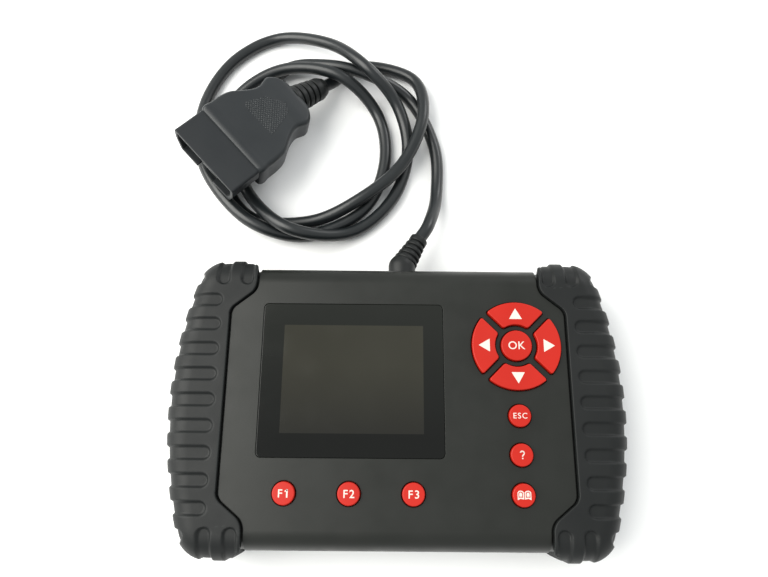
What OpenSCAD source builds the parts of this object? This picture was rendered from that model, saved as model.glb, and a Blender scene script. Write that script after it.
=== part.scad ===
// Handheld OBD code reader: two-part case in rubber bumpers, colour display, eleven keys,
// a captive cable and its 16-pin vehicle plug.
// It lies on its back. X is the width, the cable leaves towards +Y, and the keys face +Z.

/* [Case] */
// Width over the two rubber bumpers
bumper_w = 189; // [187:0.5:191]
// Height of the bumpers, from the user's side to the cable side
bumper_h = 122.4; // [121:0.2:124]
// Thickness over the bumpers
bumper_t = 35.2; // [35:0.1:36]
// Height of the plastic case between the bumpers
case_h = 114.6; // [114:0.2:115.4]
// Height of the front face above the table
face_z = 34; // [33.9:0.1:34.2]
// Height of the back face above the table
back_z = 1.2; // [0.8:0.1:1.6]
// Height of the joint between the two covers
split_z = 17; // [16.5:0.5:17]
// Radius of the bowed sides in plan
bow_r = 173; // [165:1:185]
// Radius of the corners in plan
corner_r = 14; // [13.5:0.5:15]
// Radius of the rounded edges of the case
edge_r = 8; // [7:0.5:8]
// Thickness of the case walls
wall = 2.4; // [2.2:0.1:2.4]

/* [Bumpers] */
// Thickness of the rubber at the sides
rubber = 3.7; // [3.5:0.1:4]
// Thickness of the rubber over the front and back of the case
rubber_face = 3.4; // [3.2:0.1:3.6]
// Radius of the rounded edges of the bumpers
bumper_edge_r = 10; // [9:0.5:10.5]
// Half the width of the bare case between the bumpers
seam_x = 69.4; // [69.2:0.1:70]
// Half the width of the bare case at its two ends
seam_end_x = 58.8; // [58:0.1:59]
// Gap between the case panel and the rubber
seam_gap = 0.9; // [0.7:0.1:1.1]
// Width of one grip groove
groove_w = 5.6; // [5:0.1:6]
// Distance between the grip grooves
groove_pitch = 10.4; // [10:0.1:10.6]
// Depth of the grip grooves
groove_depth = 1; // [0.6:0.1:1.2]

/* [Screen] */
// Width of the glossy window
window_w = 74.7; // [74:0.1:75]
// Height of the glossy window
window_h = 62.5; // [62:0.1:63]
// Width of the display module
lcd_w = 69.2; // [68:0.1:69.4]
// Height of the display module
lcd_h = 50; // [49:0.1:50.4]

/* [Keys] */
// Height of the key tops above the table
key_top = 35.6; // [35.2:0.1:36]
// Travel of every key
key_travel = 1.2; // [1:0.1:1.3]
// Radius of the round keys
key_r = 4.4; // [4:0.1:4.6]
// Radius of the middle key
ok_r = 6.3; // [6:0.1:6.5]
// Inner radius of the arrow keys
arrow_r_in = 8.8; // [8.7:0.1:9]
// Outer radius of the arrow keys
arrow_r_out = 18.3; // [18:0.1:18.3]
// Gap between two arrow keys
arrow_gap = 3.2; // [3:0.1:3.6]
// Clearance between a key and the cover
key_clear = 0.35; // [0.3:0.05:0.4]

/* [Cable] */
// Diameter of the cable
cable_d = 6; // [5.8:0.1:6]
// Length of the leaning part of the strain relief
boot_len = 17; // [16.5:0.5:17.5]

/* [Plug] */
// Width of the plug's nose, as the vehicle socket sets it
nose_w = 39.5; // [39:0.5:40]
// Height of the plug's nose
nose_h = 16; // [15.5:0.5:16]
// Length of the plug's nose in front of its shoulder
nose_len = 16; // [15:0.5:16]
// Distance between two pins of a row
pin_pitch = 4; // [4:0.01:4]
// Distance between the two rows of pins
pin_row_gap = 7.2; // [7:0.1:7.4]

/* [Hidden] */
$fn = 48;

// The case under the rubber, and the hollow inside it
core_w = bumper_w - 2 * rubber;
core_h = case_h - 0.6;
core_z0 = rubber_face;
core_z1 = bumper_t - rubber_face;
core_corner_r = corner_r - 3;
ceiling_z = face_z - wall;
floor_z = back_z + wall;
panel_wall = 1.2;

// Heights of the inner pieces
board_z = 22;
board_t = 1.6;
board_top = board_z + board_t;
flange_z0 = 30.2;
flange_z1 = ceiling_z - 0.3;
mat_t = 1;
dome_top = 25.9;
foot_z = dome_top + key_travel + 0.3;
window_t = 1.4;
tape_t = 0.2;
lcd_z0 = 29.6;
lcd_z1 = 32.2;

// Places of the screen and the keys
screen_at = [-18.6, 8.9];
pad_at = [48.9, 23];
foot_r = 13.3;
column_keys = [[48.9, -5.5], [48.9, -20.7], [48.9, -35.8]];
row_keys = [[-44.1, -35.8], [-18.9, -35.8], [6.2, -35.8]];
round_keys = concat(column_keys, row_keys);
key_feet = concat([for (a = [0:90:270]) pad_at + foot_r * [cos(a), sin(a)]], [pad_at], round_keys);

// Places of the screws
board_screw_at = [[-62, -38], [-62, 38], [22.8, 38], [23, -23], [67.5, -38]];
case_screw_at = [[-46, -46.2], [46, -46.2], [-46, 46.2], [46, 46.2]];
side_screw_at = [[-80, 0], [80, 0]];

// Places of the openings in the cable side
usb_at = [-30, 19.9];
boot_x = 2.2;

// The cable's strain relief leaves its collar towards +X and a little down
collar_len = 5;
boot_root = [boot_x, case_h / 2 + collar_len, split_z];
boot_turn = 61;
boot_tilt = 99;

// The plug lies on the cable, nose up and a little on its side, and its strain relief droops to the table
plug_at = [-90.4, 108.3, 23.3];
plug_turn = 45.3;
plug_pitch = 6;
plug_roll = 11;
body_len = 57.5;
plug_boot_turn = 44;
plug_boot_tilt = 112;
plug_boot_len = 19;
plug_boot_taper = 3.7;

// Points of the cable's route on the table, one loop after another
route = [
    [19.5, 104, 4], [19, 130.5, 3.5], [7, 157.5, 3.4], [-13.5, 167, 11.3], [-35, 172.5, 11.8],
    [-58, 175.5, 3.8], [-72.5, 155, 3.2], [-81.5, 131, 3.2], [-73, 104, 5.6], [-51, 82.5, 13.6],
    [-23, 83.5, 5], [-2.5, 101.5, 3.5], [5.5, 128, 3.5], [0, 151.5, 9], [-15.5, 166, 19.8],
    [-35, 185, 12.6], [-62.5, 194.5, 3.7], [-85.5, 181, 3.2], [-98.5, 157, 3], [-99.5, 130, 3.5],
    [-88.5, 106, 8], [-68.5, 86.5, 9], [-43, 82.5, 3.5], [-16.5, 96.5, 3], [-6, 122, 3.2],
    [-10, 149, 4], [-29, 164, 15.5], [-56.5, 170.5, 11.5], [-79, 159.5, 7.5], [-91.5, 138, 3.2],
    [-86.5, 112, 3.2], [-70.5, 91.5, 3], [-42, 90, 3.5], [-17.5, 100, 9], [3, 119, 9.5],
    [13, 145.5, 10.6], [8, 169.5, 5], [-17, 178, 3.2]];

function unit_dir(turn, tilt) = [sin(tilt) * cos(turn), sin(tilt) * sin(turn), cos(tilt)];
function arc(cx, cy, r, a0, a1, n) =
    [for (i = [0:n]) let (a = a0 + (a1 - a0) * i / n) [cx + r * cos(a), cy + r * sin(a)]];
function mirror_x(pts) = [for (i = [len(pts) - 1:-1:0]) [-pts[i][0], pts[i][1]]];

// Plan outline with bowed sides, straight ends and round corners
function outline(w, h, r, bow) =
    let (bx = w / 2 - bow, cy = h / 2 - r, cx = bx + sqrt(pow(bow - r, 2) - cy * cy),
        phi = atan2(cy, cx - bx),
        side = [for (p = arc(bx, 0, bow, -phi, phi, 8)) if (abs(p[1]) < bow * sin(phi) - 0.01) p],
        right = concat(arc(cx, -cy, r, -90, -phi, 4), side, arc(cx, cy, r, phi, 90, 4)))
    concat(right, mirror_x(right));

// Solid between rings of points, each with the same number of points, lowest ring first
module loft(rings) {
    n = len(rings[0]);
    m = len(rings);
    sides = [for (j = [0:m - 2], i = [0:n - 1]) let (a = j * n + i, b = j * n + (i + 1) % n)
        each [[a, a + n, b + n], [a, b + n, b]]];
    polyhedron([for (ring = rings) each ring],
        concat([[for (i = [0:n - 1]) i]], sides, [[for (i = [n - 1:-1:0]) (m - 1) * n + i]]));
}

// Block with the case's plan outline and round front and back edges
module rounded_block(w, h, r, z0, z1, edge, steps) {
    low = [for (k = [0:steps]) let (a = 90 - 90 * k / steps) [edge * (1 - cos(a)), z0 + edge * (1 - sin(a))]];
    high = [for (k = [0:steps]) let (a = 90 * k / steps) [edge * (1 - cos(a)), z1 - edge * (1 - sin(a))]];
    loft([for (s = concat(low, high)) let (d = s[0])
        [for (p = outline(w - 2 * d, h - 2 * d, max(r - d, 2), bow_r)) [p[0], p[1], s[1]]]]);
}

// Part of the case that the bumpers leave bare, in plan
module seam_shape(grow, end_x = seam_end_x) {
    x0 = seam_x + grow;
    turn_r = 5;
    bend_r = 7;
    lean = 51;
    y0 = 35.3;
    y1 = 49.6;
    quarter = concat(arc(x0 - turn_r, y0, turn_r, 0, lean, 3),
        arc(end_x + grow + bend_r, y1, bend_r, 180 + lean, 180, 3),
        [[end_x + grow, case_h / 2], [end_x + grow + 5, case_h / 2 + 5], [end_x + grow + 5, 80]]);
    right = concat([for (i = [len(quarter) - 1:-1:0]) [quarter[i][0], -quarter[i][1]]], quarter);
    polygon(concat(right, mirror_x(right)));
}

module case_core(grow = 0)
    rounded_block(core_w + 2 * grow, core_h + 2 * grow, core_corner_r + grow, core_z0 - grow, core_z1 + grow,
        edge_r, 3);

module case_outside() {
    case_core();
    intersection() {
        rounded_block(core_w, case_h, core_corner_r, back_z, face_z, edge_r, 4);
        translate([0, 0, -1]) linear_extrude(40) seam_shape(0);
    }
}

module case_hollow() {
    rounded_block(core_w - 2 * wall, core_h - 2 * wall, core_corner_r - wall, core_z0 + wall, core_z1 - wall,
        edge_r - wall, 2);
    intersection() {
        rounded_block(core_w - 2 * wall, case_h - 2 * wall, core_corner_r - wall, floor_z, ceiling_z,
            edge_r - wall, 2);
        translate([0, 0, -1]) linear_extrude(40) seam_shape(-panel_wall, seam_end_x);
    }
}

// Lip of the rear cover that locates the front cover
module lip(clear = 0) translate([0, 0, split_z - 1]) linear_extrude(2.4 + clear) difference() {
    polygon(outline(core_w - 2 * wall + 2 + 2 * clear, core_h - 2 * wall + 2 + 2 * clear,
        core_corner_r - wall + 1, bow_r));
    polygon(outline(core_w - 2 * wall, core_h - 2 * wall, core_corner_r - wall, bow_r));
}

module box_at(x, y, z, size) translate([x - size[0] / 2, y - size[1] / 2, z]) cube(size);

module rounded_plate(w, h, r, t) linear_extrude(t) difference() {
    square([w, h], center = true);
    for (sx = [-1, 1], sy = [-1, 1]) translate([sx * (w / 2 - r), sy * (h / 2 - r)]) difference() {
        translate([sx > 0 ? 0 : -r - 1, sy > 0 ? 0 : -r - 1]) square(r + 1);
        circle(r);
    }
}

// Arrow key in plan, pointing along +X: g more on the straight and inner sides, g_out on the outer side
module arrow_shape(g, g_out) {
    notch = (arrow_gap / 2 - g) * sqrt(2);
    intersection() {
        difference() {
            circle(arrow_r_out + g_out);
            circle(arrow_r_in - g);
        }
        polygon([[notch, 0], [40 + notch, 40], [40 + notch, -40]]);
    }
}

module openings_for_wall_ports() {
    translate([usb_at[0] - 5.2, 50, split_z]) cube([10.4, 12, 5.6]);
    translate([boot_x, 50, split_z]) rotate([-90, 0, 0]) cylinder(h = 12, r = 5.6);
}

module front_cover() color("#3b3b38") difference() {
    union() {
        difference() {
            case_outside();
            translate([-120, -80, -10]) cube([240, 160, split_z + 10]);
            case_hollow();
            lip(0.1);
        }
        for (p = board_screw_at) translate([p[0], p[1], board_top]) cylinder(h = ceiling_z + 1 - board_top, r = 2.75);
        for (p = case_screw_at) translate([p[0], p[1], split_z]) cylinder(h = ceiling_z + 1 - split_z, r = 3.6);
        for (p = side_screw_at) translate([p[0], p[1], split_z]) cylinder(h = core_z1 - 1 - split_z, r = 3.6);
    }
    translate([screen_at[0], screen_at[1], ceiling_z + 0.8]) rounded_plate(window_w + 0.3, window_h + 0.3, 2.1, 5);
    box_at(screen_at[0], screen_at[1], ceiling_z - 5, [lcd_w + 1.8, lcd_h + 2, 10]);
    translate([pad_at[0], pad_at[1], ceiling_z - 5]) {
        cylinder(h = 10, r = ok_r + key_clear);
        for (a = [0:90:270]) rotate(a) linear_extrude(10) arrow_shape(key_clear, key_clear);
    }
    for (p = round_keys) translate([p[0], p[1], ceiling_z - 5]) cylinder(h = 10, r = key_r + key_clear);
    for (p = board_screw_at) translate([p[0], p[1], board_top - 1]) cylinder(h = 7, r = 0.8);
    for (p = concat(case_screw_at, side_screw_at)) translate([p[0], p[1], split_z - 1]) cylinder(h = 10, r = 1.25);
    openings_for_wall_ports();
}

module rear_cover() color("#2f302f") difference() {
    union() {
        difference() {
            case_outside();
            translate([-120, -80, split_z]) cube([240, 160, 40]);
            case_hollow();
        }
        lip();
        for (p = case_screw_at) translate([p[0], p[1], floor_z - 1]) cylinder(h = split_z - floor_z + 1, r = 4);
        for (p = side_screw_at) translate([p[0], p[1], core_z0 + 1]) cylinder(h = split_z - core_z0 - 1, r = 4);
        for (x = [-34, 0, 34]) box_at(x, 0, floor_z - 1, [1.6, 84, 4]);
        box_at(0, 0, floor_z - 1, [120, 1.6, 4]);
    }
    for (p = case_screw_at) translate([p[0], p[1], 0]) {
        cylinder(h = 40, r = 1.4);
        translate([0, 0, -1]) cylinder(h = 6.2, r = 3.1);
    }
    for (p = side_screw_at) translate([p[0], p[1], 0]) {
        cylinder(h = 40, r = 1.4);
        translate([0, 0, -1]) cylinder(h = 8.2, r = 3.1);
    }
    box_at(0, 4, back_z - 1, [86, 46, 1.4]);
    openings_for_wall_ports();
}

// Groove with a round inner end, running from x0 outward along +X
module groove(x0, w) hull() {
    translate([x0 + w / 2, 0, -1]) cylinder(h = 50, r = w / 2, $fn = 16);
    translate([x0 + 60, -w / 2, -1]) cube([1, w, 50]);
}

module bumper() {
    slot_y = 48.2;
    difference() {
        union() {
            difference() {
                rounded_block(bumper_w, bumper_h, corner_r, 0, bumper_t, bumper_edge_r, 4);
                for (i = [-4:4]) translate([0, i * groove_pitch, 0]) groove(73.4, groove_w);
                for (i = [-5, 5]) translate([0, i * groove_pitch, 0]) groove(82.3, groove_w);
                for (x = [63.8, 73.8], s = [-1, 1]) translate([x, 0, 0]) rotate(90 * s) groove(slot_y, groove_w);
            }
            rounded_block(bumper_w - 2 * groove_depth, bumper_h - 2 * groove_depth, corner_r - groove_depth,
                groove_depth, bumper_t - groove_depth, bumper_edge_r - groove_depth, 4);
        }
        case_core(0.1);
        translate([0, 0, -1]) linear_extrude(50) seam_shape(seam_gap);
        translate([-200, -100, -1]) cube([200, 200, 50]);
    }
}

module right_bumper() color("#383c3a") bumper();

module left_bumper() color("#383c3a") mirror([1, 0, 0]) bumper();

module screen_window() color("#101312") translate([screen_at[0], screen_at[1], face_z - window_t])
    rounded_plate(window_w, window_h, 2, window_t);

module window_tape() color("#202020") translate([screen_at[0], screen_at[1], face_z - window_t - tape_t])
    linear_extrude(tape_t) difference() {
        square([window_w - 0.4, window_h - 0.4], center = true);
        square([lcd_w + 2.2, lcd_h + 2.6], center = true);
    }

module lcd_panel() color("#41403a") box_at(screen_at[0], screen_at[1], lcd_z0, [lcd_w, lcd_h, lcd_z1 - lcd_z0]);

module lcd_frame() color("#d8d8d2") difference() {
    box_at(screen_at[0], screen_at[1], board_top, [74, 54, ceiling_z - 0.3 - board_top]);
    box_at(screen_at[0], screen_at[1], lcd_z0, [lcd_w + 0.2, lcd_h + 0.2, 5]);
    box_at(screen_at[0], screen_at[1], board_top - 1, [62, 42, 10]);
}

// Flat cable under the display, from its back edge down to the board
module lcd_flex() color("#b07a30") translate([screen_at[0] - 28, screen_at[1] + 14, 0]) rotate([90, 0, 0])
    linear_extrude(28) polygon([[8, lcd_z0 - 0.2], [8, lcd_z0], [2, lcd_z0], [2, board_top], [8, board_top],
        [8, board_top + 0.2], [2.2, board_top + 0.2], [2.2, lcd_z0 - 0.2]]);

module keypad_mat() color("#c8c4bc") difference() {
    union() {
        box_at(pad_at[0], pad_at[1], board_top, [43, 37.4, mat_t]);
        box_at(pad_at[0], -15, board_top, [16, 53.4, mat_t]);
        box_at(2, -35.8, board_top, [109.8, 11.8, mat_t]);
        for (p = key_feet) translate([p[0], p[1], board_top]) cylinder(h = dome_top - board_top, r = 4.2);
    }
    for (p = key_feet) translate([p[0], p[1], board_top - 1]) cylinder(h = 2.2, r = 3.2);
}

module snap_domes() color("#c9c9c4") for (p = key_feet) translate([p[0], p[1], board_top]) cylinder(h = 0.4, r = 3);

// What every key has under its flange
module key_foot() translate([0, 0, foot_z]) cylinder(h = flange_z0 + 0.4 - foot_z, r = 1.8);

module arrow_key(turn) color("#e8342a") translate(pad_at) rotate(turn) {
    translate([0, 0, flange_z0]) linear_extrude(flange_z1 - flange_z0) arrow_shape(0.8, 0.2);
    translate([0, 0, flange_z1 - 0.3]) linear_extrude(key_top - 0.4 - flange_z1 + 0.3) arrow_shape(0, 0);
    translate([0, 0, key_top - 0.5]) linear_extrude(0.5) arrow_shape(-0.3, -0.3);
    translate([foot_r, 0, 0]) key_foot();
}

module round_key(at, r) color("#e8342a") translate(at) {
    translate([0, 0, flange_z0]) cylinder(h = flange_z1 - flange_z0, r = r + 0.8);
    translate([0, 0, flange_z1 - 0.3]) cylinder(h = key_top - 0.4 - flange_z1 + 0.3, r = r);
    translate([0, 0, key_top - 0.4]) cylinder(h = 0.4, r1 = r, r2 = r - 0.4);
    key_foot();
}

module main_board() color("#1f5a38") difference() {
    union() {
        translate([-68, -42, board_z]) cube([140, 84, board_t]);
        translate([usb_at[0] - 7, 41, board_z]) cube([14, 12, board_t]);
    }
    for (p = board_screw_at) translate([p[0], p[1], board_z - 1]) cylinder(h = 4, r = 1.1);
}

module processor_chip() color("#1b1b1c") box_at(-14, 8, board_z - 1.4, [14, 14, 1.4]);

module board_chips() color("#232324") {
    box_at(10, 10, board_z - 1.1, [10, 12, 1.1]);
    box_at(-36, 12, board_z - 1.1, [18, 8, 1.1]);
    box_at(-14, -14, board_z - 1.5, [8, 5, 1.5]);
    box_at(14, -12, board_z - 1.5, [8, 5, 1.5]);
    box_at(34, 24, board_z - 2.4, [9, 9, 2.4]);
    box_at(-20, 30, board_z - 1.2, [4, 5, 1.2]);
    translate([-34, -12, board_z - 3.5]) cylinder(h = 3.5, r = 3);
    translate([34, 8, board_z - 5]) cylinder(h = 5, r = 4);
}

module usb_port() color("#c4c6c6") {
    depth = 9.2;
    mouth_y = 55.6;
    translate([usb_at[0], mouth_y - depth / 2, usb_at[1]]) {
        difference() {
            translate([-3.9, -depth / 2, -2]) cube([7.8, depth, 4.1]);
            translate([-3.5, -depth / 2 + 1.4, -1.6]) cube([7, depth, 3.3]);
        }
        translate([-2.6, -depth / 2 + 1, -0.2]) cube([5.2, depth - 3, 0.8]);
    }
}

module harness_header() color("#e6e2d2") difference() {
    box_at(boot_x, 33, board_z - 5, [14, 6, 5]);
    box_at(boot_x, 34, board_z - 4, [12, 6, 3.2]);
}

module harness_plug() color("#efece0") box_at(boot_x, 36, board_z - 3.9, [11.8, 8, 3]);

// Four insulated leads from the cable's end to the board's connector
module harness_wires() color("#b03030") for (i = [0:3]) {
    from = [boot_x - 3 + 2 * i, 40.12, board_z - 2.4];
    to = [boot_x - 1.8 + 1.2 * i, 52.2, split_z];
    d = to - from;
    translate(from) rotate([0, acos(d[2] / norm(d)), atan2(d[1], d[0])]) cylinder(h = norm(d), r = 0.5);
}

module board_screws() color("#a9a9a6") for (p = board_screw_at) translate([p[0], p[1], board_z]) {
    translate([0, 0, -1.2]) cylinder(h = 1.2, r = 1.9);
    cylinder(h = 6.5, r = 0.8);
}

module case_screw(z0) {
    difference() {
        translate([0, 0, z0]) cylinder(h = 2.2, r = 2.7);
        box_at(0, 0, z0 - 1, [3.4, 0.8, 2]);
        box_at(0, 0, z0 - 1, [0.8, 3.4, 2]);
    }
    translate([0, 0, z0 + 2]) cylinder(h = split_z + 8 - z0 - 2, r = 1.25);
}

module case_screws() color("#6f7070") {
    for (p = case_screw_at) translate([p[0], p[1], 0]) case_screw(3);
    for (p = side_screw_at) translate([p[0], p[1], 0]) case_screw(5);
}

// Ribbed sleeve along +Z, with a ring every rib_pitch
module ribbed_sleeve(len, r0, r1, ribs) {
    pitch = len / ribs;
    cylinder(h = len, r1 = r0 - 1, r2 = r1 - 1);
    for (i = [0:ribs - 1]) let (r = r0 + (r1 - r0) * i / (ribs - 1))
        translate([0, 0, i * pitch]) cylinder(h = i < ribs - 1 ? pitch - 1.3 : pitch, r = r);
}

module cable_boot() color("#242625") {
    translate([boot_x, case_h / 2 - wall - 2.4, split_z]) rotate([-90, 0, 0]) cylinder(h = 2.2, r = 6.8);
    translate([boot_x, case_h / 2 - wall - 1, split_z]) rotate([-90, 0, 0]) cylinder(h = wall + 2, r = 5.4);
    translate([boot_x, case_h / 2 + 0.1, split_z]) rotate([-90, 0, 0]) {
        cylinder(h = collar_len, r = 6);
        translate([0, 0, collar_len - 0.2]) cylinder(h = 3.6, r1 = 6, r2 = 4.6);
        translate([0, 0, collar_len + 3.2]) cylinder(h = 1.8, r1 = 4.7, r2 = 2.6);
    }
    translate(boot_root) rotate([0, boot_tilt, boot_turn]) translate([0, 0, 3])
        ribbed_sleeve(boot_len - 3, 5.6, 4.3, 5);
}

// Smooth curve through the route, as the cable lies
boot_dir = unit_dir(boot_turn, boot_tilt);
plug_boot_root = plug_at + body_len * unit_dir(plug_turn, 90 + plug_pitch);
plug_boot_dir = unit_dir(plug_boot_turn, plug_boot_tilt);
cable_start = boot_root + boot_len * boot_dir;
cable_end = plug_boot_root + plug_boot_len * plug_boot_dir;
cable_path = concat([cable_start, cable_start + 10 * boot_dir], route,
    [cable_end + 6 * plug_boot_dir, cable_end]);

function path_point(p, i) = i < 0 ? 2 * p[0] - p[1] : i > len(p) - 1 ? 2 * p[len(p) - 1] - p[len(p) - 2] : p[i];
function spline(p, i, t) = let (a = path_point(p, i - 1), b = p[i], c = p[i + 1], d = path_point(p, i + 2))
    0.5 * (2 * b + (c - a) * t + (2 * a - 5 * b + 4 * c - d) * t * t + (3 * b - a - 3 * c + d) * t * t * t);
function unit(v) = v / norm(v);
cable_points = concat([for (i = [0:len(cable_path) - 2], t = [0, 0.5]) spline(cable_path, i, t)], [cable_end]);

module cable() color("#2b2e2e") {
    n = len(cable_points);
    loft([for (i = [0:n - 1]) let (
        along = unit(path_point(cable_points, i + 1) - path_point(cable_points, i - 1)),
        side = unit(cross([0, 0, 1], along)),
        up = cross(along, side))
        [for (k = [0:9]) cable_points[i] + cable_d / 2 * (cos(36 * k) * side + sin(36 * k) * up)]]);
}

// Places its children in the plug's own frame: +X from nose to cable, +Z the wide side
module in_plug() translate(plug_at) rotate([plug_roll, plug_pitch, plug_turn]) children();

// Section of the nose, wide side up, pulled in by d all round
module nose_section(d) polygon([[-nose_w / 2 + d, nose_h / 2 - d], [-nose_w / 2 + d, 1],
    [-nose_w / 2 + 2.6 + d, -nose_h / 2 + d], [nose_w / 2 - 2.6 - d, -nose_h / 2 + d], [nose_w / 2 - d, 1],
    [nose_w / 2 - d, nose_h / 2 - d]]);

// Extrudes a section in the plug's YZ plane from x0 to x1
module along_plug(x0, x1) translate([x0, 0, 0]) rotate([90, 0, 90]) linear_extrude(x1 - x0) children();

module plug_nose() color("#2d3031") in_plug() {
    difference() {
        along_plug(0, nose_len) nose_section(0);
        along_plug(-1, nose_len + 1) nose_section(1.7);
        translate([-1, -5.5, -nose_h / 2 - 1]) cube([4, 11, 3.5]);
    }
    translate([3.2, -0.7, -nose_h / 2 + 1.5]) cube([10.4, 1.4, 2.6]);
}

function pin_spots() = [for (i = [0:7], s = [-1, 1]) [(i - 3.5) * pin_pitch, s * pin_row_gap / 2]];

module pin_carrier() color("#2a2b2c") in_plug() difference() {
    along_plug(nose_len - 2.2, nose_len) nose_section(1.8);
    for (p = pin_spots()) translate([nose_len - 3, p[0] - 0.75, p[1] - 0.35]) cube([5, 1.5, 0.7]);
}

module plug_pins() color("#c9ae5a") in_plug()
    for (p = pin_spots()) translate([4, p[0] - 0.75, p[1] - 0.35]) cube([nose_len - 4, 1.5, 0.7]);

// Half width and half thickness of the plug's body at stations from its shoulder to its cable end
body_stations = [[nose_len, 19.9, 8.6], [nose_len + 1, 20.5, 9], [28, 20.5, 8.8], [33, 19.3, 8.6], [36.5, 17.2, 8.5],
    [40, 15.2, 8.3], [43.5, 13.9, 8.1], [46, 13.8, 7.9], [48.5, 14.6, 7.8], [51, 15.2, 7.6], [53.5, 14, 7.3],
    [56, 11, 7], [body_len, 8, 6.6]];

module plug_body() color("#2d3031") in_plug()
    rotate([0, 90, 0]) loft([for (s = body_stations)
        let (w = s[1], t = s[2], c = 2)
        [for (p = [[t, -w + c], [t, w - c], [t - c, w], [-t + c, w], [-t, w - c], [-t, -w + c], [-t + c, -w],
            [t - c, -w]]) [p[0], p[1], s[0]]]]);

module plug_boot() color("#26292a") difference() {
    back = 2.4;
    translate(plug_boot_root) rotate([0, plug_boot_tilt, plug_boot_turn]) translate([0, 0, -back]) union() {
        ribbed_sleeve(plug_boot_len + back - plug_boot_taper, 7, 5.8, 5);
        translate([0, 0, plug_boot_len + back - plug_boot_taper])
            cylinder(h = plug_boot_taper - 0.15, r1 = 5.8, r2 = 3.8);
    }
    in_plug() translate([body_len - 20, -20, -20]) cube([20, 40, 40]);
}

front_cover();
rear_cover();
left_bumper();
right_bumper();
screen_window();
window_tape();
lcd_panel();
lcd_frame();
lcd_flex();
keypad_mat();
arrow_key(90);  // up_key
arrow_key(270);  // down_key
arrow_key(180);  // left_key
arrow_key(0);  // right_key
round_key(pad_at, ok_r);  // ok_key
round_key(column_keys[0], key_r);  // esc_key
round_key(column_keys[1], key_r);  // help_key
round_key(column_keys[2], key_r);  // manual_key
round_key(row_keys[0], key_r);  // f1_key
round_key(row_keys[1], key_r);  // f2_key
round_key(row_keys[2], key_r);  // f3_key
main_board();
snap_domes();
processor_chip();
board_chips();
usb_port();
harness_header();
harness_plug();
harness_wires();
board_screws();
case_screws();
cable_boot();
cable();
plug_body();
plug_nose();
pin_carrier();
plug_pins();
plug_boot();
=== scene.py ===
"""Looks for a handheld OBD code reader: a case in grooved rubber bumpers, eleven keys, a cable and its plug.

Shapes are worked out in millimetres and turned into metres when a mesh is made.
"""

import math

import bmesh
import bpy
import numpy as np
from mathutils import Matrix, Vector


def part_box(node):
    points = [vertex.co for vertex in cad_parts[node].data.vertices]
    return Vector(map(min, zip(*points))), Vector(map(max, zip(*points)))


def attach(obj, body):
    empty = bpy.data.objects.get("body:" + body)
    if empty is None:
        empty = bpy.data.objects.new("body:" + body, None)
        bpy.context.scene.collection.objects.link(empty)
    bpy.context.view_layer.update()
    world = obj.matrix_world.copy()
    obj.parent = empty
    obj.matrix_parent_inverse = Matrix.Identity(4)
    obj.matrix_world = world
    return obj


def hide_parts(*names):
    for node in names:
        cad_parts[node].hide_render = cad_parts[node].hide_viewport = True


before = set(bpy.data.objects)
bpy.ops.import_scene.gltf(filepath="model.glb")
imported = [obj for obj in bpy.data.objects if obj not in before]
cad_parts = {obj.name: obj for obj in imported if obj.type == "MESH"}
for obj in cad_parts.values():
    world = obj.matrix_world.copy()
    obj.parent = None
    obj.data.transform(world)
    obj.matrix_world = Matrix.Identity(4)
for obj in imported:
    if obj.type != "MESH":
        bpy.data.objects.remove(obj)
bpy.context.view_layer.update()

MM = 0.001
BODY = "reader"


def node_box(name):
    """Lowest and highest corners of a CAD node in millimetres."""
    low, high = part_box(name)
    return np.array(low) / MM, np.array(high) / MM


# ---- sizes

BUMPER_HIGH = node_box("right_bumper")[1]
FRONT_LOW, FRONT_HIGH = node_box("front_cover")
REAR_LOW = node_box("rear_cover")[0]

BUMPER_HALF_W = BUMPER_HIGH[0]
BUMPER_HALF_H = BUMPER_HIGH[1]
BUMPER_T = BUMPER_HIGH[2]
BUMPER_CORNER = 14.0
BUMPER_EDGE = 10.0
RUBBER = 3.3
BOW = 173.0

CASE_HALF_W = FRONT_HIGH[0]
CASE_HALF_H = FRONT_HIGH[1]
CASE_CORNER = 11.0
CASE_EDGE = 8.0
FACE_Z = FRONT_HIGH[2]
BACK_Z = REAR_LOW[2]
SPLIT_Z = FRONT_LOW[2]
CORE_Z = (3.4, 31.8)
WALL = 2.4

SEAM_X = 69.4
SEAM_END_X = 58.8
SEAM_LEAN = 51
SEAM_SIDE_Y = 35.3
SEAM_TURN_Y = 49.6
SEAM_GAP = 1.0
LIP = 0.35

GROOVE_PITCH = 10.4
GROOVE_HALF = 2.8
GROOVE_DEPTH = 1.0
GROOVE_START = 73.4
END_GROOVE_START = 82.3
SLOT_X = (63.8, 73.8)
SLOT_START = 48.2

PAD = (48.9, 23.0)
KEY_TOP = 35.56
KEY_R = 4.4
OK_R = 6.3
ARROW_IN = 8.8
ARROW_OUT = 18.3
ARROW_GAP = 3.2
KEY_CLEAR = 0.35
KEY_HOLE_END = 26
LEGEND_Z = 35.585
COLUMN_KEYS = {"esc_key": (48.9, -5.5), "help_key": (48.9, -20.7), "manual_key": (48.9, -35.8)}
ROW_KEYS = {"f1_key": (-44.1, -35.8), "f2_key": (-18.9, -35.8), "f3_key": (6.2, -35.8)}
ARROWS = {"right_key": 0, "up_key": 90, "left_key": 180, "down_key": 270}

CABLE_R = 3.0
BOOT_ROOT = Vector((2.2, CASE_HALF_H + 5, SPLIT_Z))
BOOT_TURN, BOOT_TILT, BOOT_LEN = 61, 99, 17
PLUG_AT = Vector((-90.4, 108.3, 23.3))
PLUG_TURN, PLUG_PITCH, PLUG_ROLL = 45.3, 6, 11
PLUG_BOOT_TURN, PLUG_BOOT_TILT, PLUG_BOOT_LEN, PLUG_BOOT_TAPER = 44, 112, 19, 3.7
BODY_LEN = 57.5
NOSE_W, NOSE_H, NOSE_LEN = 39.5, 16.0, 16.0

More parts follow.
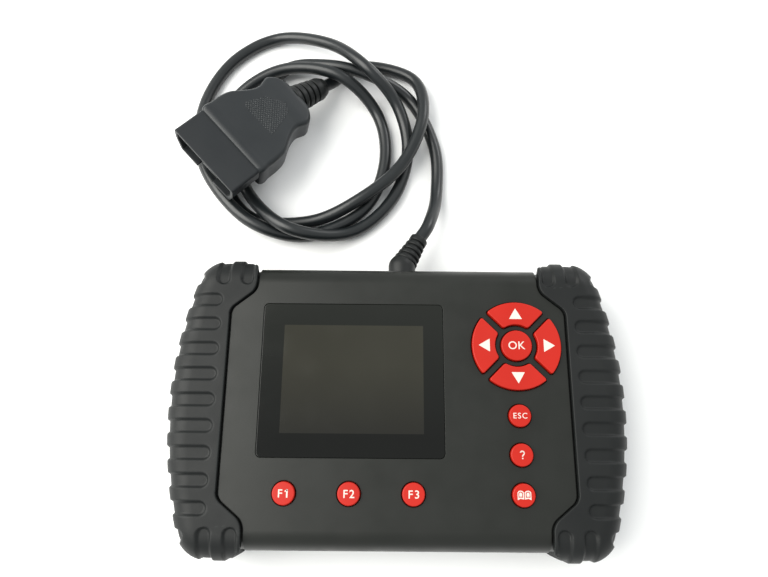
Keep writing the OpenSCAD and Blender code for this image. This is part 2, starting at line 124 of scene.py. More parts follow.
# The cable's route on the table, one loop after another
ROUTE = [
    (19.5, 104, 4), (19, 130.5, 3.5), (7, 157.5, 3.4), (-13.5, 167, 11.3), (-35, 172.5, 11.8),
    (-58, 175.5, 3.8), (-72.5, 155, 3.2), (-81.5, 131, 3.2), (-73, 104, 5.6), (-51, 82.5, 13.6),
    (-23, 83.5, 5), (-2.5, 101.5, 3.5), (5.5, 128, 3.5), (0, 151.5, 9), (-15.5, 166, 19.8),
    (-35, 185, 12.6), (-62.5, 194.5, 3.7), (-85.5, 181, 3.2), (-98.5, 157, 3), (-99.5, 130, 3.5),
    (-88.5, 106, 8), (-68.5, 86.5, 9), (-43, 82.5, 3.5), (-16.5, 96.5, 3), (-6, 122, 3.2),
    (-10, 149, 4), (-29, 164, 15.5), (-56.5, 170.5, 11.5), (-79, 159.5, 7.5), (-91.5, 138, 3.2),
    (-86.5, 112, 3.2), (-70.5, 91.5, 3), (-42, 90, 3.5), (-17.5, 100, 9), (3, 119, 9.5),
    (13, 145.5, 10.6), (8, 169.5, 5), (-17, 178, 3.2)]


def direction(turn, tilt):
    turn, tilt = math.radians(turn), math.radians(tilt)
    return Vector((math.sin(tilt) * math.cos(turn), math.sin(tilt) * math.sin(turn), math.cos(tilt)))


BOOT_DIR = direction(BOOT_TURN, BOOT_TILT)
PLUG_BOOT_ROOT = PLUG_AT + BODY_LEN * direction(PLUG_TURN, 90 + PLUG_PITCH)
PLUG_BOOT_DIR = direction(PLUG_BOOT_TURN, PLUG_BOOT_TILT)
CABLE_START = BOOT_ROOT + BOOT_LEN * BOOT_DIR
CABLE_END = PLUG_BOOT_ROOT + PLUG_BOOT_LEN * PLUG_BOOT_DIR


# ---- materials

def node_tree(name):
    material = bpy.data.materials.new(name)
    material.use_nodes = True
    tree = material.node_tree
    shader = tree.nodes["Principled BSDF"]
    return material, tree, shader


def noise(tree, scale, detail=3.0, roughness=0.5, stretch=None):
    """Noise in the object's own coordinates: scale is in features per metre."""
    coords = tree.nodes.new("ShaderNodeTexCoord")
    texture = tree.nodes.new("ShaderNodeTexNoise")
    texture.inputs["Scale"].default_value = scale
    texture.inputs["Detail"].default_value = detail
    texture.inputs["Roughness"].default_value = roughness
    source = coords.outputs["Object"]
    if stretch:
        mapping = tree.nodes.new("ShaderNodeMapping")
        mapping.inputs["Scale"].default_value = stretch
        tree.links.new(source, mapping.inputs["Vector"])
        source = mapping.outputs["Vector"]
    tree.links.new(source, texture.inputs["Vector"])
    return texture.outputs["Fac"]


def ramp(tree, source, low, high):
    """Colour ramp between two colours."""
    node = tree.nodes.new("ShaderNodeValToRGB")
    node.color_ramp.elements[0].position = 0.3
    node.color_ramp.elements[0].color = (*low, 1)
    node.color_ramp.elements[1].position = 0.7
    node.color_ramp.elements[1].color = (*high, 1)
    tree.links.new(source, node.inputs["Fac"])
    return node.outputs["Color"]


def spread(tree, source, low, high, start=0.3, end=0.7):
    """Numbers from low to high as source goes from start to end."""
    node = tree.nodes.new("ShaderNodeMapRange")
    for name, value in (("From Min", start), ("From Max", end), ("To Min", low), ("To Max", high)):
        node.inputs[name].default_value = value
    tree.links.new(source, node.inputs["Value"])
    return node.outputs["Result"]


def blend_colours(tree, factor, below, above):
    node = tree.nodes.new("ShaderNodeMix")
    node.data_type = "RGBA"
    tree.links.new(factor, node.inputs["Factor"])
    for socket, value in ((node.inputs[6], below), (node.inputs[7], above)):
        if isinstance(value, tuple):
            socket.default_value = (*value, 1)
        else:
            tree.links.new(value, socket)
    return node.outputs[2]


def bump(tree, shader, heights):
    """Stacks bumps, each (height output, depth in millimetres)."""
    last = None
    for height, depth in heights:
        node = tree.nodes.new("ShaderNodeBump")
        node.inputs["Strength"].default_value = 1.0
        node.inputs["Distance"].default_value = depth * MM
        tree.links.new(height, node.inputs["Height"])
        if last:
            tree.links.new(last, node.inputs["Normal"])
        last = node.outputs["Normal"]
    tree.links.new(last, shader.inputs["Normal"])


def moulded(name, dark, light, rough, grain=1800, grain_depth=0.012, edge_wear_and_highlight=None, patches=28, specular=0.5):
    """Moulded plastic or rubber: two close tones in soft patches, a fine grain, and sharp edges lightened
    towards a second colour, partly as wear and partly as a painted edge highlight.
    """
    material, tree, shader = node_tree(name)
    shader.inputs["Specular IOR Level"].default_value = specular
    tone = ramp(tree, noise(tree, patches, 4), dark, light)
    # Edge colour from Pointiness: partly rubbed wear, partly a painted highlight where light would catch the
    # sharp edges.
    if edge_wear_and_highlight:
        geometry = tree.nodes.new("ShaderNodeNewGeometry")
        edge = spread(tree, geometry.outputs["Pointiness"], 0.0, 0.55, 0.52, 0.62)
        tone = blend_colours(tree, edge, tone, edge_wear_and_highlight)
    tree.links.new(tone, shader.inputs["Base Color"])
    tree.links.new(spread(tree, noise(tree, 90, 4), rough - 0.05, rough + 0.06), shader.inputs["Roughness"])
    bump(tree, shader, [(noise(tree, grain, 2, 0.6), grain_depth), (noise(tree, 160, 2), 0.02)])
    return material


def metal(name, colour, rough):
    material, tree, shader = node_tree(name)
    shader.inputs["Metallic"].default_value = 1.0
    tone = ramp(tree, noise(tree, 300, 4), tuple(c * 0.82 for c in colour), colour)
    tree.links.new(tone, shader.inputs["Base Color"])
    tree.links.new(spread(tree, noise(tree, 500, 3), rough - 0.06, rough + 0.1), shader.inputs["Roughness"])
    bump(tree, shader, [(noise(tree, 900, 2, 0.5, (1, 14, 1)), 0.004)])
    return material


def gloss(name, dark, light, rough=0.06, painted_reflection_span=None, specular=0.5):
    """Polished plastic or glass sheet with faint smudges in its gloss; the optional span in Y paints a
    reflection gradient that dims the tone towards -Y.
    """
    material, tree, shader = node_tree(name)
    shader.inputs["Specular IOR Level"].default_value = specular
    tone = ramp(tree, noise(tree, 22, 2), dark, light)
    # Painted reflection: the tone falls to a third of its darkest colour towards -Y, standing in for the
    # reflection across the sheet.
    if painted_reflection_span:
        parts = tree.nodes.new("ShaderNodeSeparateXYZ")
        tree.links.new(tree.nodes.new("ShaderNodeTexCoord").outputs["Object"], parts.inputs["Vector"])
        tone = blend_colours(tree, spread(tree, parts.outputs["Y"], 1, 0, *painted_reflection_span), tone,
                             tuple(c * 0.3 for c in dark))
    tree.links.new(tone, shader.inputs["Base Color"])
    smudges = spread(tree, noise(tree, 60, 5), rough, rough + 0.09, 0.42, 0.75)
    tree.links.new(smudges, shader.inputs["Roughness"])
    return material


def printed(name, colour):
    material, tree, shader = node_tree(name)
    tone = ramp(tree, noise(tree, 900, 3), tuple(c * 0.93 for c in colour), colour)
    tree.links.new(tone, shader.inputs["Base Color"])
    tree.links.new(spread(tree, noise(tree, 700, 2), 0.42, 0.55), shader.inputs["Roughness"])
    return material


M = {
    "case": moulded("case_plastic", (0.007, 0.008, 0.006), (0.010, 0.011, 0.009), 0.40, 2400, 0.010,
                    specular=0.36),
    "rubber": moulded("bumper_rubber", (0.005, 0.006, 0.006), (0.009, 0.010, 0.010), 0.52, 1500, 0.016,
                      edge_wear_and_highlight=(0.024, 0.027, 0.026), specular=0.28),
    # The window and the display carry a painted reflection gradient, darker towards -Y.
    "window": gloss("window_black", (0.010, 0.011, 0.009), (0.012, 0.013, 0.011), painted_reflection_span=(-0.015, 0.045),
                    specular=0.26),
    "display": gloss("display_off", (0.016, 0.015, 0.009), (0.022, 0.021, 0.014), 0.10, painted_reflection_span=(-0.017, 0.014),
                     specular=0.42),
    "key": moulded("key_red", (0.41, 0.010, 0.003), (0.46, 0.013, 0.005), 0.42, 2600, 0.006,
                   edge_wear_and_highlight=(0.52, 0.03, 0.02), specular=0.3),
    "legend": printed("legend_white", (0.68, 0.60, 0.54)),
    "cable": moulded("cable_jacket", (0.005, 0.007, 0.008), (0.009, 0.011, 0.012), 0.33, 1300, 0.010,
                     patches=60, specular=0.5),
    "relief": moulded("relief_rubber", (0.005, 0.006, 0.006), (0.009, 0.010, 0.010), 0.46, 1600, 0.014,
                      edge_wear_and_highlight=(0.02, 0.022, 0.022), specular=0.3),
    "plug": moulded("plug_plastic", (0.010, 0.012, 0.014), (0.015, 0.018, 0.020), 0.42, 2000, 0.014,
                    edge_wear_and_highlight=(0.08, 0.09, 0.09), specular=0.4),
    # The nose gets a darker, rougher copy of the plug plastic: the darker tone is painted shade that offsets
    # the light falling on the nose.
    "nose": moulded("nose_plastic_painted_shade", (0.009, 0.011, 0.013), (0.013, 0.015, 0.017), 0.46, 2000, 0.012,
                    specular=0.34),
    "foam": moulded("black_foam", (0.015, 0.015, 0.015), (0.03, 0.03, 0.03), 0.85, 900, 0.05),
    "white": moulded("white_plastic", (0.62, 0.61, 0.56), (0.74, 0.73, 0.68), 0.45),
    "film": gloss("amber_film", (0.36, 0.17, 0.03), (0.52, 0.28, 0.06), 0.25),
    "silicone": moulded("grey_silicone", (0.42, 0.41, 0.38), (0.52, 0.51, 0.47), 0.6, 1200, 0.01),
    "board": gloss("circuit_board", (0.010, 0.085, 0.030), (0.020, 0.140, 0.052), 0.28),
    "chip": moulded("chip_black", (0.012, 0.012, 0.012), (0.025, 0.025, 0.025), 0.55, 3000, 0.01),
    "wire": gloss("wire_red", (0.35, 0.012, 0.010), (0.48, 0.02, 0.014), 0.30),
    "steel": metal("bright_steel", (0.62, 0.63, 0.63), 0.28),
    "screw": metal("dark_screw", (0.10, 0.10, 0.105), 0.38),
    "brass": metal("pin_brass", (0.72, 0.55, 0.25), 0.24),
}

NODE_MATERIALS = {
    "window_tape": "foam", "lcd_panel": "display", "lcd_frame": "white", "lcd_flex": "film",
    "keypad_mat": "silicone", "main_board": "board", "snap_domes": "steel", "processor_chip": "chip",
    "board_chips": "chip", "usb_port": "steel", "harness_header": "white", "harness_plug": "white",
    "harness_wires": "wire", "board_screws": "steel", "case_screws": "screw", "pin_carrier": "plug",
    "plug_pins": "brass"}


def dress_kept_nodes():
    """Every CAD node that stays gets its material."""
    for name, material in NODE_MATERIALS.items():
        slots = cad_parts[name].data.materials
        slots.clear()
        slots.append(M[material])


# ---- mesh helpers

def flat_areas(bm):
    """For each face, the area of the flat region that it is part of."""
    areas = [0.0] * len(bm.faces)
    seen = set()
    for first in bm.faces:
        if first in seen:
            continue
        seen.add(first)
        region = [first]
        for face in region:
            for edge in face.edges:
                for other in edge.link_faces:
                    if other not in seen and other.normal.dot(first.normal) > 0.99999:
                        seen.add(other)
                        region.append(other)
        total = sum(face.calc_area() for face in region)
        for face in region:
            areas[face.index] = total
    return areas


def shade(obj, angle=32, even=True):
    """Smooth shading that breaks at edges sharper than angle; even keeps the large flats flat."""
    bm = bmesh.new()
    bm.from_mesh(obj.data)
    limit = math.radians(angle)
    for face in bm.faces:
        face.smooth = True
    for edge in bm.edges:
        edge.smooth = len(edge.link_faces) == 2 and edge.calc_face_angle(0) < limit
    normals = {}
    if even:
        bm.normal_update()
        weight = [1 + (area / (20 * MM * MM)) ** 2 for area in flat_areas(bm)]
        for vert in bm.verts:
            corners = [(c, c.face.normal, c.calc_angle() * weight[c.face.index]) for c in vert.link_loops]
            for corner, facing, _ in corners:
                near = [n * w for _, n, w in corners if n.dot(facing) > math.cos(limit)]
                normals[corner] = sum(near, Vector()).normalized()
        normals = [tuple(normals[corner]) for face in bm.faces for corner in face.loops]
    bm.to_mesh(obj.data)
    bm.free()
    if normals:
        obj.data.normals_split_custom_set(normals)


def make(name, verts, faces, material=None, slots=None):
    """Object from a mesh in millimetres."""
    mesh = bpy.data.meshes.new(name)
    mesh.from_pydata([tuple(float(c) * MM for c in v) for v in verts], [], faces)
    mesh.validate()
    obj = bpy.data.objects.new(name, mesh)
    bpy.context.scene.collection.objects.link(obj)
    for m in [material] if material else (slots or []):
        mesh.materials.append(m)
    return obj


def fix_mesh(obj, distance=0.002):
    """Joins points that meet and turns every face outward."""
    bm = bmesh.new()
    bm.from_mesh(obj.data)
    bmesh.ops.remove_doubles(bm, verts=bm.verts, dist=distance * MM)
    bmesh.ops.recalc_face_normals(bm, faces=bm.faces)
    bm.to_mesh(obj.data)
    bm.free()


def ring_faces(rings, count, closed_ends=True):
    sides = [(i, (i + 1) % count) for i in range(count)]
    faces = [(low + a, low + b, low + count + b, low + count + a)
             for low in range(0, (rings - 1) * count, count) for a, b in sides]
    if closed_ends:
        faces.append(tuple(reversed(range(count))))
        faces.append(tuple((rings - 1) * count + i for i in range(count)))
    return faces


def loft(name, rings, material=None):
    """Closed solid through rings of points, all with the same number of points."""
    verts = [p for ring in rings for p in ring]
    obj = make(name, verts, ring_faces(len(rings), len(rings[0])), material)
    fix_mesh(obj)
    return obj


def lathe_rings(profile, count=64):
    """Rings round +Z from (radius, height) pairs."""
    turns = [2 * math.pi * i / count for i in range(count)]
    return [[(r * math.cos(a), r * math.sin(a), z) for a in turns] for r, z in profile]


def combine(obj, tool, operation):
    """Boolean of obj with tool; tool is used up."""
    modifier = obj.modifiers.new("cut", "BOOLEAN")
    modifier.operation = operation
    modifier.solver = "MANIFOLD"
    modifier.object = tool
    bpy.context.view_layer.update()
    mesh = bpy.data.meshes.new_from_object(obj.evaluated_get(bpy.context.evaluated_depsgraph_get()))
    obj.modifiers.remove(modifier)
    obj.data = mesh
    bpy.data.objects.remove(tool)
    return obj


def slide(obj, x, y):
    obj.data.transform(Matrix.Translation((x * MM, y * MM, 0)))


def box(name, low, high):
    rings = [[(low[0], low[1], z), (high[0], low[1], z), (high[0], high[1], z), (low[0], high[1], z)]
             for z in (low[2], high[2])]
    return loft(name, rings)


def prism(name, points, z0, z1):
    return loft(name, [[(x, y, z) for x, y in points] for z in (z0, z1)])


def arc(cx, cy, r, a0, a1, n):
    return [(cx + r * math.cos(a), cy + r * math.sin(a))
            for a in (math.radians(a0 + (a1 - a0) * i / n) for i in range(n + 1))]


def dedupe(points):
    kept = []
    for p in points:
        if not kept or math.dist(p, kept[-1]) > 1e-4:
            kept.append(p)
    if math.dist(kept[0], kept[-1]) < 1e-4:
        kept.pop()
    return kept


def rounded_rect(w, h, r, n=8):
    x, y = w / 2 - r, h / 2 - r
    return (arc(x, -y, r, -90, 0, n) + arc(x, y, r, 0, 90, n) + arc(-x, y, r, 90, 180, n)
            + arc(-x, -y, r, 180, 270, n))


def circle(r, n=64):
    return [(r * math.cos(2 * math.pi * i / n), r * math.sin(2 * math.pi * i / n)) for i in range(n)]


def finish_piece(obj, body=BODY, replaces=()):
    if replaces:
        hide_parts(*replaces)
    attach(obj, body)
    return obj


# ---- outlines of the case

def bow_parts(half_w, half_h, r):
    """Where the bowed side meets the round corner: corner centre, bow centre, angle."""
    bx = half_w - BOW
    cy = half_h - r
    cx = bx + math.sqrt((BOW - r) ** 2 - cy * cy)
    return cx, cy, bx, math.degrees(math.atan2(cy, cx - bx))


def case_outline(half_w, half_h, r, n_corner=14, n_side=24):
    cx, cy, bx, phi = bow_parts(half_w, half_h, r)
    right = (arc(cx, -cy, r, -90, -phi, n_corner) + arc(bx, 0, BOW, -phi, phi, n_side)[1:-1]
             + arc(cx, cy, r, phi, 90, n_corner))
    return right + [(-x, y) for x, y in reversed(right)]


def rounded_block(name, half_w, half_h, r, z0, z1, edge, steps=12):
    """Block with the case's outline and round front and back edges."""
    angles = [math.pi / 2 * k / steps for k in range(steps + 1)]
    insets = [(edge * (1 - math.sin(a)), z0 + edge * (1 - math.cos(a))) for a in angles]
    insets += [(edge * (1 - math.cos(a)), z1 - edge * (1 - math.sin(a))) for a in angles]
    rings = []
    for d, z in insets:
        outline = case_outline(half_w - d, half_h - d, max(r - d, 2))
        rings.append([(x, y, z) for x, y in outline])
    return loft(name, rings)


def seam_quarter(grow, n=14):
    """Edge of the bare panel from the middle of a side to the end of the case."""
    x0, end_x = SEAM_X + grow, SEAM_END_X + grow
    side_r, end_r = 5 + grow * 0.5, 7 - grow * 0.5
    return (arc(x0 - side_r, SEAM_SIDE_Y, side_r, 0, SEAM_LEAN, n)
            + arc(end_x + end_r, SEAM_TURN_Y, end_r, 180 + SEAM_LEAN, 180, n))


def seam_outline(grow):
    quarter = seam_quarter(grow)
    end_x = SEAM_END_X + grow
    end = [(end_x, CASE_HALF_H), (end_x + 6, CASE_HALF_H + 6), (end_x + 6, 80)]
    quarter = quarter + end
    right = [(x, -y) for x, y in reversed(quarter)] + quarter
    return dedupe(right + [(-x, y) for x, y in reversed(right)])


# ---- the stage

def make_camera():
    camera = bpy.data.cameras.new("camera")
    camera.lens = 30.0
    camera.sensor_width = 36.0
    camera.clip_start = 0.01
    obj = bpy.data.objects.new("camera", camera)
    obj.location = (-0.0065, -0.0292, 0.2944)
    obj.rotation_euler = (math.radians(16.36), math.radians(-0.27), math.radians(0.48))
    bpy.context.scene.collection.objects.link(obj)
    bpy.context.scene.camera = obj


def area_light(name, location, target, size, power, colour=(1, 1, 1)):
    light = bpy.data.lights.new(name, "AREA")
    light.shape = "RECTANGLE"
    light.size, light.size_y = size
    light.energy = power
    light.color = colour
    obj = bpy.data.objects.new(name, light)
    obj.location = location
    obj.rotation_euler = (Vector(target) - Vector(location)).to_track_quat("-Z", "Y").to_euler()
    bpy.context.scene.collection.objects.link(obj)


def make_stage():
    far = 3000
    floor = make("floor", [(-far, -far, 0), (far, -far, 0), (far, far, 0), (-far, far, 0)], [(0, 1, 2, 3)])
    material, tree, shader = node_tree("floor_white")
    tree.links.new(ramp(tree, noise(tree, 4, 2), (0.93, 0.93, 0.93), (0.95, 0.95, 0.95)),
                   shader.inputs["Base Color"])
    shader.inputs["Roughness"].default_value = 0.9
    shader.inputs["Specular IOR Level"].default_value = 0.1
    floor.data.materials.append(material)
    world = bpy.data.worlds.new("studio")
    world.use_nodes = True
    background = world.node_tree.nodes["Background"]
    background.inputs["Color"].default_value = (0.97, 1.0, 1.0, 1)
    background.inputs["Strength"].default_value = 0.80
    bpy.context.scene.world = world
    area_light("left_window", (-0.72, 0.12, 0.78), (0, 0.03, 0), (0.95, 1.05), 18, (1.0, 0.99, 0.94))
    area_light("right_window", (0.65, 0.75, 0.55), (0, 0.03, 0), (0.5, 0.3), 3)
    bpy.context.scene.view_settings.view_transform = "Standard"


# ---- the cable

def spline_points(points, steps):
    """Catmull-Rom curve through the points, as the CAD model sweeps it."""
    padded = [2 * points[0] - points[1], *points, 2 * points[-1] - points[-2]]
    out = []
    for i in range(1, len(padded) - 2):
        a, b, c, d = padded[i - 1:i + 3]
        for k in range(steps):
            t = k / steps
            out.append(0.5 * (2 * b + (c - a) * t + (2 * a - 5 * b + 4 * c - d) * t * t
                              + (3 * b - a - 3 * c + d) * t ** 3))
    return out + [points[-1]]


def make_cable():
    route = [CABLE_START, CABLE_START + 10 * BOOT_DIR, *(Vector(p) for p in ROUTE),
             CABLE_END + 6 * PLUG_BOOT_DIR, CABLE_END]
    points = spline_points(route, 8)
    curve = bpy.data.curves.new("cable_jacket", "CURVE")
    curve.dimensions = "3D"
    curve.bevel_depth = CABLE_R * MM
    curve.bevel_resolution = 7
    curve.use_fill_caps = True
    spline = curve.splines.new("POLY")
    spline.points.add(len(points) - 1)
    for i, p in enumerate(points):
        p.z = max(p.z, CABLE_R + 0.02)
        spline.points[i].co = (p.x * MM, p.y * MM, p.z * MM, 1)
    spline.use_smooth = True
    obj = bpy.data.objects.new("cable_jacket", curve)
    bpy.context.scene.collection.objects.link(obj)
    curve.materials.append(M["cable"])
    finish_piece(obj, replaces=["cable"])


def along(obj, root, turn, tilt):
    """Turns a mesh made round +Z so that it leaves root in that direction."""
    turned = Matrix.Rotation(math.radians(turn), 4, "Z") @ Matrix.Rotation(math.radians(tilt), 4, "Y")
    obj.data.transform(Matrix.Translation(root * MM) @ turned)


def ribbed_profile(length, r0, r1, ribs, gap=1.3, depth=1.0, soft=0.35):
    """(radius, height) pairs of a tapered sleeve with soft-edged ribs."""
    pitch = length / ribs
    profile = [(0.01, 0)]
    for i in range(ribs):
        z0 = i * pitch
        z1 = z0 + (pitch - gap if i < ribs - 1 else pitch)
        r = r0 + (r1 - r0) * i / (ribs - 1)
        for k in range(4):
            a = math.pi / 2 * k / 3
            profile.append((r - soft * (1 - math.sin(a)), z0 + soft * (1 - math.cos(a))))
        for k in range(4):
            a = math.pi / 2 * k / 3
            profile.append((r - soft * (1 - math.cos(a)), z1 - soft * (1 - math.sin(a))))
        if i < ribs - 1:
            profile += [(r - depth, z1 + 0.15), (r - depth - 0.05, z1 + gap - 0.15)]
    return profile + [(0.01, length)]


def make_cable_boot():
    sleeve = loft("relief_sleeve", lathe_rings(ribbed_profile(BOOT_LEN - 3, 5.6, 4.2, 5)), M["relief"])
    along(sleeve, BOOT_ROOT + 3 * BOOT_DIR, BOOT_TURN, BOOT_TILT)
    profile = [(0.01, -10.1), (6.5, -10.1), (6.8, -9.8), (6.8, -8.2), (6.5, -7.9), (5.4, -7.9), (5.4, -4.9),
               (5.7, -4.9), (6.0, -4.6), (6.1, 0)]
    profile += [(6.15 * math.cos(a), 6.15 * math.sin(a)) for a in (math.radians(x) for x in range(8, 89, 8))]
    collar = loft("relief_collar", lathe_rings(profile + [(0.01, 6.15)]), M["relief"])
    along(collar, BOOT_ROOT, 90, 90)
    combine_pieces(sleeve, collar)
    shade(sleeve)
    return finish_piece(sleeve, replaces=["cable_boot"])


def combine_pieces(obj, *others):
    """Joins meshes into obj without cutting them."""
    bm = bmesh.new()
    for piece in (obj, *others):
        bm.from_mesh(piece.data)
    bm.to_mesh(obj.data)
    bm.free()
    for piece in others:
        bpy.data.objects.remove(piece)


# ---- the plug

def in_plug(obj):
    """Places a mesh made in the plug's own frame: +X from nose to cable, +Z the wide side."""
    placed = Matrix.Translation(PLUG_AT * MM)
    for angle, axis in ((PLUG_TURN, "Z"), (PLUG_PITCH, "Y"), (PLUG_ROLL, "X")):
        placed = placed @ Matrix.Rotation(math.radians(angle), 4, axis)
    obj.data.transform(placed)
    return obj


def round_corners(points, r, n=4):
    """Polygon with each corner turned into an arc of radius r (or fewer where sides are short)."""
    out = []
    count = len(points)
    for i, p in enumerate(points):
        before, after = Vector(points[i - 1]), Vector(points[(i + 1) % count])
        p = Vector(p)
        u, v = (before - p).normalized(), (after - p).normalized()
        half = math.acos(max(-1, min(1, u.dot(v)))) / 2
        cut = min(r / math.tan(half), 0.45 * min((before - p).length, (after - p).length))
        radius = cut * math.tan(half)
        centre = p + (u + v).normalized() * (radius / math.sin(half))
        start, end = p + u * cut - centre, p + v * cut - centre
        turn = start.angle_signed(end)
        for k in range(n + 1):
            spun = start.copy()
            spun.rotate(Matrix.Rotation(-turn * k / n, 2))
            out.append(tuple(centre + spun))
    return out


def nose_section(inset, r):
    w, h = NOSE_W / 2 - inset, NOSE_H / 2 - inset
    points = [(-w, h), (-w, 1), (-w + 2.6, -h), (w - 2.6, -h), (w, 1), (w, h)]
    return round_corners(points, r)


def section_ring(points, x):
    return [(x, y, z) for y, z in points]


BODY_STATIONS = [(NOSE_LEN, 19.9, 8.6), (17, 20.5, 9), (22, 20.5, 8.9), (28, 20.4, 8.8), (33, 19.3, 8.6),
                 (36.5, 17.2, 8.5), (40, 15.2, 8.3), (43.5, 13.9, 8.1), (46, 13.75, 7.9), (48.5, 14.5, 7.8),
                 (51, 15.1, 7.6), (53.5, 14, 7.3), (56, 11, 7), (BODY_LEN, 8, 6.6)]


def body_size(x):
    """Half width and half thickness of the plug's body at x, on a smooth curve through the stations."""
    xs, ws, ts = (np.array(c) for c in zip(*BODY_STATIONS))
    i = int(np.clip(np.searchsorted(xs, x) - 1, 0, len(xs) - 2))
    t = (x - xs[i]) / (xs[i + 1] - xs[i])
    sizes = []
    for values in (ws, ts):
        slope = np.gradient(values, xs)
        span = xs[i + 1] - xs[i]
        a, b, m, n = values[i], values[i + 1], slope[i] * span, slope[i + 1] * span
        sizes.append((2 * t ** 3 - 3 * t * t + 1) * a + (t ** 3 - 2 * t * t + t) * m
                     + (3 * t * t - 2 * t ** 3) * b + (t ** 3 - t * t) * n)
    return sizes


def body_section(x, inset=0.0):
    w, t = body_size(x)
    w, t = w - inset, t - inset
    return round_corners([(-w, t), (-w, -t), (w, -t), (w, t)], 2.2, 8)


def make_plug():
    shell = [(NOSE_LEN, 0.0), (0.45, 0.0), (0.13, 0.13), (0.0, 0.45), (0.0, 1.3), (0.15, 1.6), (0.5, 1.7),
             (13.8, 1.7)]
    rings = [section_ring(nose_section(inset, 1.3 if inset < 1 else 0.7), x) for x, inset in shell]
    nose = loft("plug_shell", rings, M["nose"])
    combine(nose, box("notch", (-1, -5.5, -NOSE_H / 2 - 1), (3, 5.5, -NOSE_H / 2 + 2.5)), "DIFFERENCE")
    key = box("nose_key", (3.2, -0.7, -NOSE_H / 2 + 1.5), (13.6, 0.7, -NOSE_H / 2 + 4.1))
    combine_pieces(nose, key)
    in_plug(nose)
    shade(nose)
    finish_piece(nose, replaces=["plug_nose"])

    stations = [(16.0, 1.1), (16.0, 0.35), (16.12, 0.12), (16.4, 0.0)]
    stations += [(x, 0.0) for x in np.linspace(17, BODY_LEN - 0.6, 72)]
    stations += [(BODY_LEN - 0.25, 0.3), (BODY_LEN, 0.9)]
    rings = [section_ring(body_section(x, inset), x) for x, inset in stations]
    body = in_plug(loft("plug_overmould", rings, M["plug"]))
    shade(body, 40)
    finish_piece(body, replaces=["plug_body"])

    pad = make_grip_pad()
    back = 2.4
    tail = PLUG_BOOT_LEN + back - PLUG_BOOT_TAPER
    profile = ribbed_profile(tail, 7.0, 5.7, 5, 1.2, 1.1)[:-2]
    profile += [(r, tail + rise) for r, rise in
                ((5.6, 0), (5.2, 1), (4.8, 2), (4.4, 3), (4.0, 3.5), (3.4, 3.7), (0.01, 3.7))]
    relief = loft("plug_relief", lathe_rings(profile), M["relief"])
    along(relief, PLUG_BOOT_ROOT - back * PLUG_BOOT_DIR, PLUG_BOOT_TURN, PLUG_BOOT_TILT)
    shade(relief)
    finish_piece(relief, replaces=["plug_boot"])
    return [nose, body, pad, relief]


def inside(point, polygon):
    """Distance into a convex polygon, negative outside it."""
    depth = 1e9
    for i, (x, y) in enumerate(polygon):
        x0, y0 = polygon[i - 1]
        length = math.hypot(x - x0, y - y0)
        depth = min(depth, ((x - x0) * (point[1] - y0) - (y - y0) * (point[0] - x0)) / length)
    return depth


def make_grip_pad():
    """Cross-hatched patch on top of the plug: a sheet of small pyramids that sinks at its outline."""
    outline = [(32.6, -9.6), (34.9, -10.6), (43.8, -6.8), (46.8, -6), (49.5, -1), (43.6, 7.1), (34, 10.7),
               (32.4, 8.4)]
    step, pitch = 0.22, 1.5
    xs = np.arange(32.0, 51.4, step)
    ys = np.arange(-12.6, 12.6, step)
    verts = []
    for x in xs:
        top = body_size(x)[1]
        for y in ys:
            a, b = (x + y) / pitch % 1, (x - y) / pitch % 1
            peak = min(1 - abs(2 * a - 1), 1 - abs(2 * b - 1))
            depth = inside((x, y), outline)
            rise = 0.30 * min(peak * 1.6, 1) - 0.08 if depth > 0 else -0.4
            verts.append((x, y, top + rise))
    count = len(ys)
    faces = [(i * count + j, (i + 1) * count + j, (i + 1) * count + j + 1, i * count + j + 1)
             for i in range(len(xs) - 1) for j in range(count - 1)]
    pad = in_plug(make("plug_grip_pad", verts, faces, M["plug"]))
    shade(pad, 25, even=False)
    return finish_piece(pad)


# ---- the bumpers

def groove_depth(x, y):
    """How far the grip grooves sink the rubber at a point in plan."""
    nearest = 9.0
    for i in range(-5, 6):
        start = END_GROOVE_START if abs(i) == 5 else GROOVE_START
        dx = min(0.0, x - start - GROOVE_HALF)
        nearest = min(nearest, math.hypot(dx, y - i * GROOVE_PITCH))
    for slot_x in SLOT_X:
        dy = min(0.0, abs(y) - SLOT_START - GROOVE_HALF)
        nearest = min(nearest, math.hypot(dy, x - slot_x))
    t = min(1.0, max(0.0, (GROOVE_HALF + 0.15 - nearest) / 0.9))
    return GROOVE_DEPTH * t * t * (3 - 2 * t)


def polyline_sampler(points):
    points = np.array(points)
    lengths = np.concatenate([[0], np.cumsum(np.linalg.norm(np.diff(points, axis=0), axis=1))])

    def sample(s):
        return np.array([np.interp(s, lengths, points[:, k]) for k in (0, 1)])

    return sample, lengths


def bumper_columns():
    """Columns round the bumper: plan points and plan normals for an inset d, from end wall to end wall."""
    n_end, n_corner, n_side = 34, 30, 216

    def columns(d):
        half_w, half_h, r = BUMPER_HALF_W - d, BUMPER_HALF_H - d, max(BUMPER_CORNER - d, 2)
        cx, cy, bx, phi = bow_parts(half_w, half_h, r)
        start_x = SEAM_END_X + SEAM_GAP + LIP + max(0.0, half_h - CASE_HALF_H)
        points = [(start_x + (cx - start_x) * i / n_end, -half_h) for i in range(n_end)]
        normals = [(0.0, -1.0)] * n_end
        corner = arc(0, 0, 1, -90, -phi, n_corner)
        side = arc(0, 0, 1, -phi, phi, n_side)[1:]
        last = arc(0, 0, 1, phi, 90, n_corner)[1:]
        points += [(cx + r * x, -cy + r * y) for x, y in corner]
        points += [(bx + BOW * x, BOW * y) for x, y in side]
        points += [(cx + r * x, cy + r * y) for x, y in last]
        normals += corner + side + last
        points += [(start_x + (cx - start_x) * i / n_end, half_h) for i in reversed(range(n_end))]
        normals += [(0.0, 1.0)] * n_end
        return np.array(points), np.array(normals)

    return columns, n_end + n_corner


